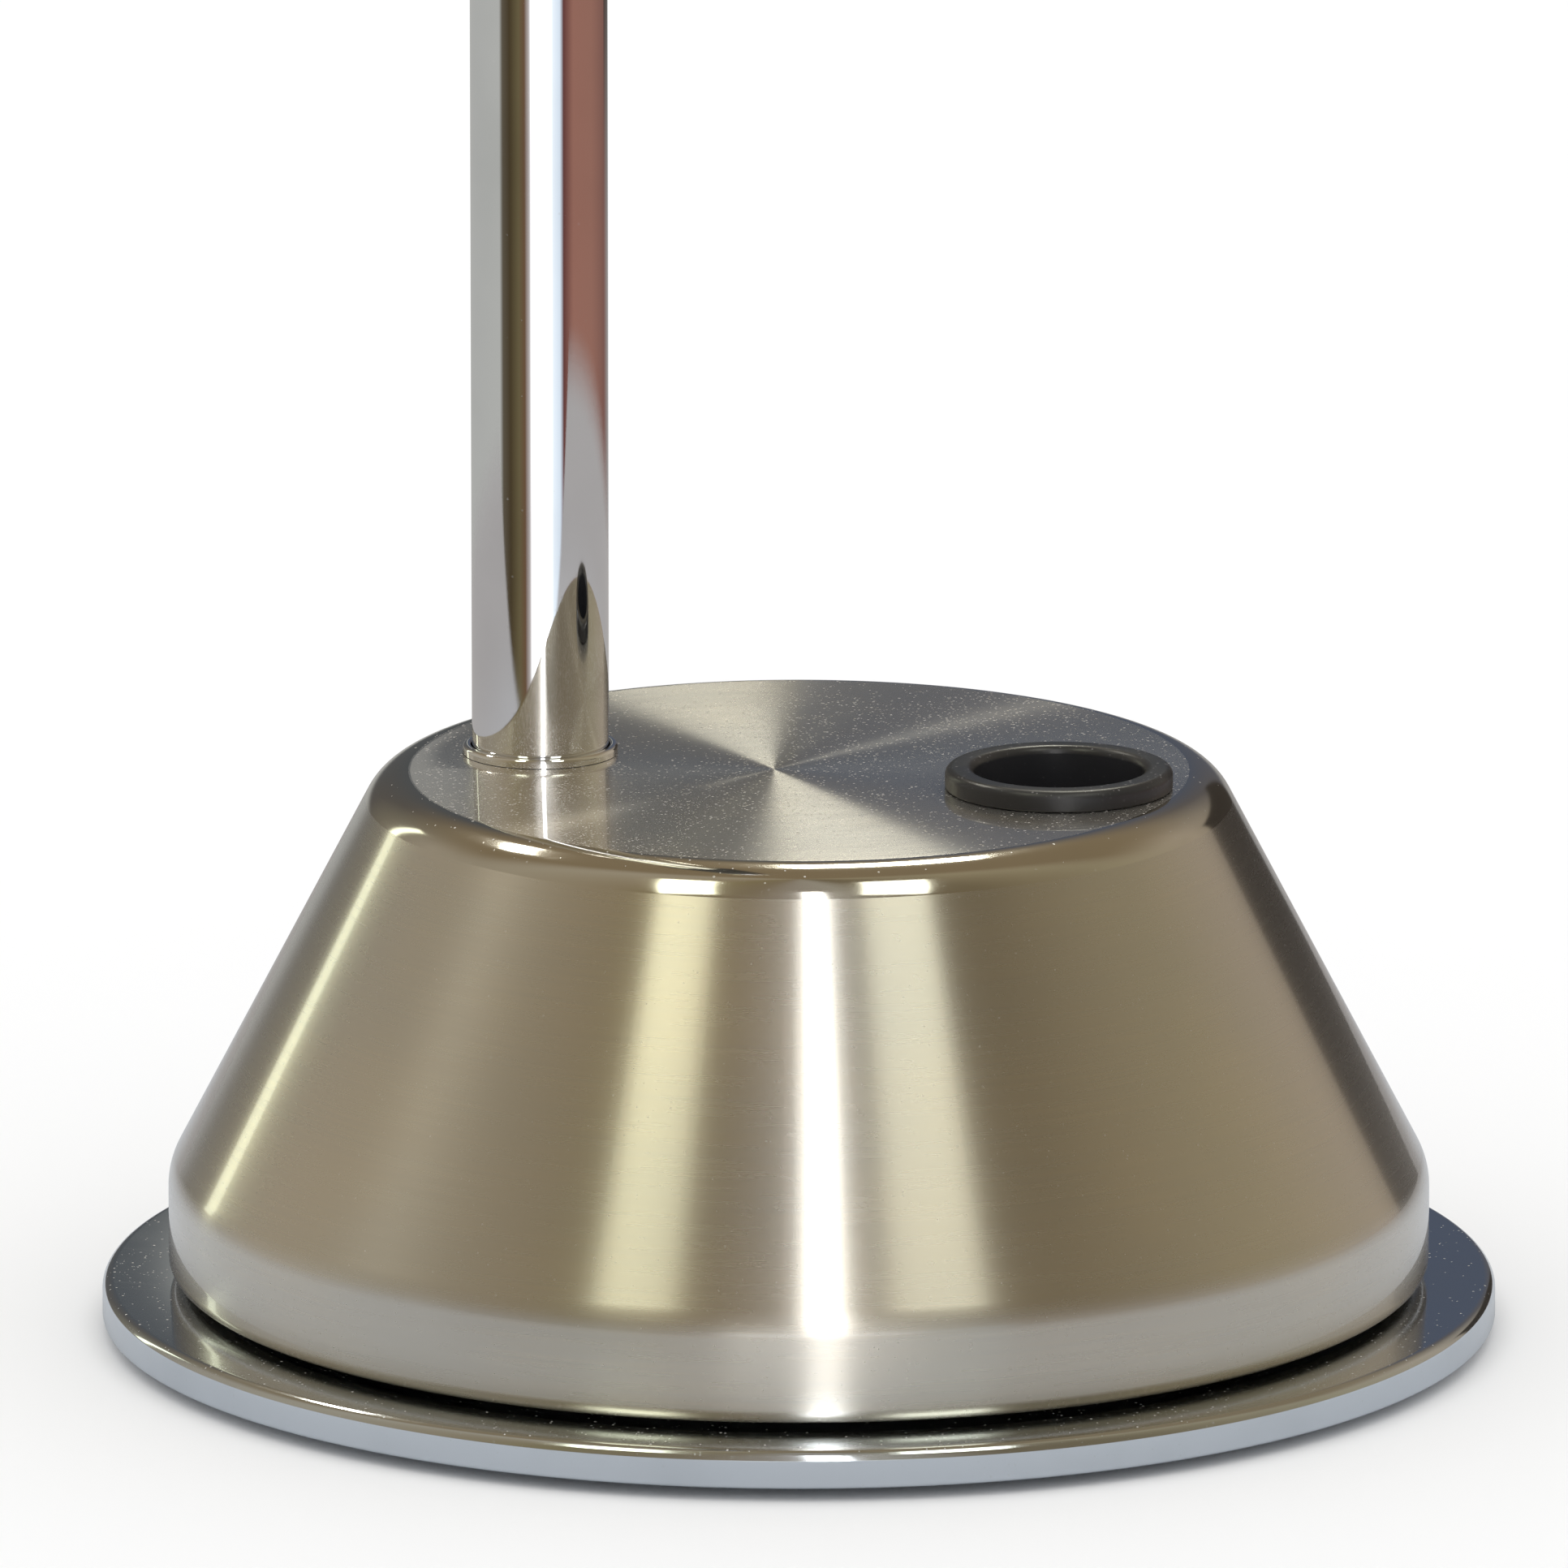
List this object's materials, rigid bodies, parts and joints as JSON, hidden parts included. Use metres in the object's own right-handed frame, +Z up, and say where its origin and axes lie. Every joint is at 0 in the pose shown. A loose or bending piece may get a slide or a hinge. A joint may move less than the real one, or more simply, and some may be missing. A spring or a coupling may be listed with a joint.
{
  "type": "floor door holder",
  "caption": "Weighted brushed-steel cone that turns on a polished floor plate, with an off-centre chrome lifting upright and a rubber-lined socket for a door bolt.",
  "frame": {"origin": "On the floor, on the axis that the body turns about, which is the centre of the round floor plate", "axes": "+Z up along the swivel axis and the upright; +X from the axis towards the socket; the upright is on -X"},
  "size_m": [0.163, 0.163, 0.3223],
  "materials": {
    "brushed_shell": "stainless, brushed round the axis, with a polished shoulder",
    "chrome": "bright polished plating",
    "rubber": "black, satin",
    "steel": "plain zinc-coloured steel, out of sight",
    "iron": "rough casting, out of sight",
    "acetal": "natural white, satin",
    "bronze": "turned bronze"
  },
  "bodies": {
    "base": {"foot_ring": "rubber", "base_plate": "chrome", "slide_ring": "acetal", "pivot_bolt": "steel", "pivot_washer": "steel", "pivot_nut": "steel"},
    "body": {"carrier_plate": "steel", "pivot_bush": "bronze", "shell": "brushed_shell", "ballast": "iron", "ballast_screw_1": "steel", "ballast_screw_2": "steel", "ballast_screw_3": "steel", "upright_bolt": "steel", "upright_tube": "chrome", "upright_collar": "chrome", "upright_foot_plug": "steel", "upright_top_plug": "steel", "knob_stud": "steel", "knob": "chrome", "grip_sleeve": "rubber", "socket_bush": "rubber", "socket_sleeve": "steel", "socket_pad": "rubber"}
  },
  "joints": [
    {"name": "body_swivel", "type": "hinge", "parent": "base", "child": "body", "pos_m": [0, 0, 0.0078], "axis": [0, 0, 1], "continuous": true}
  ]
}
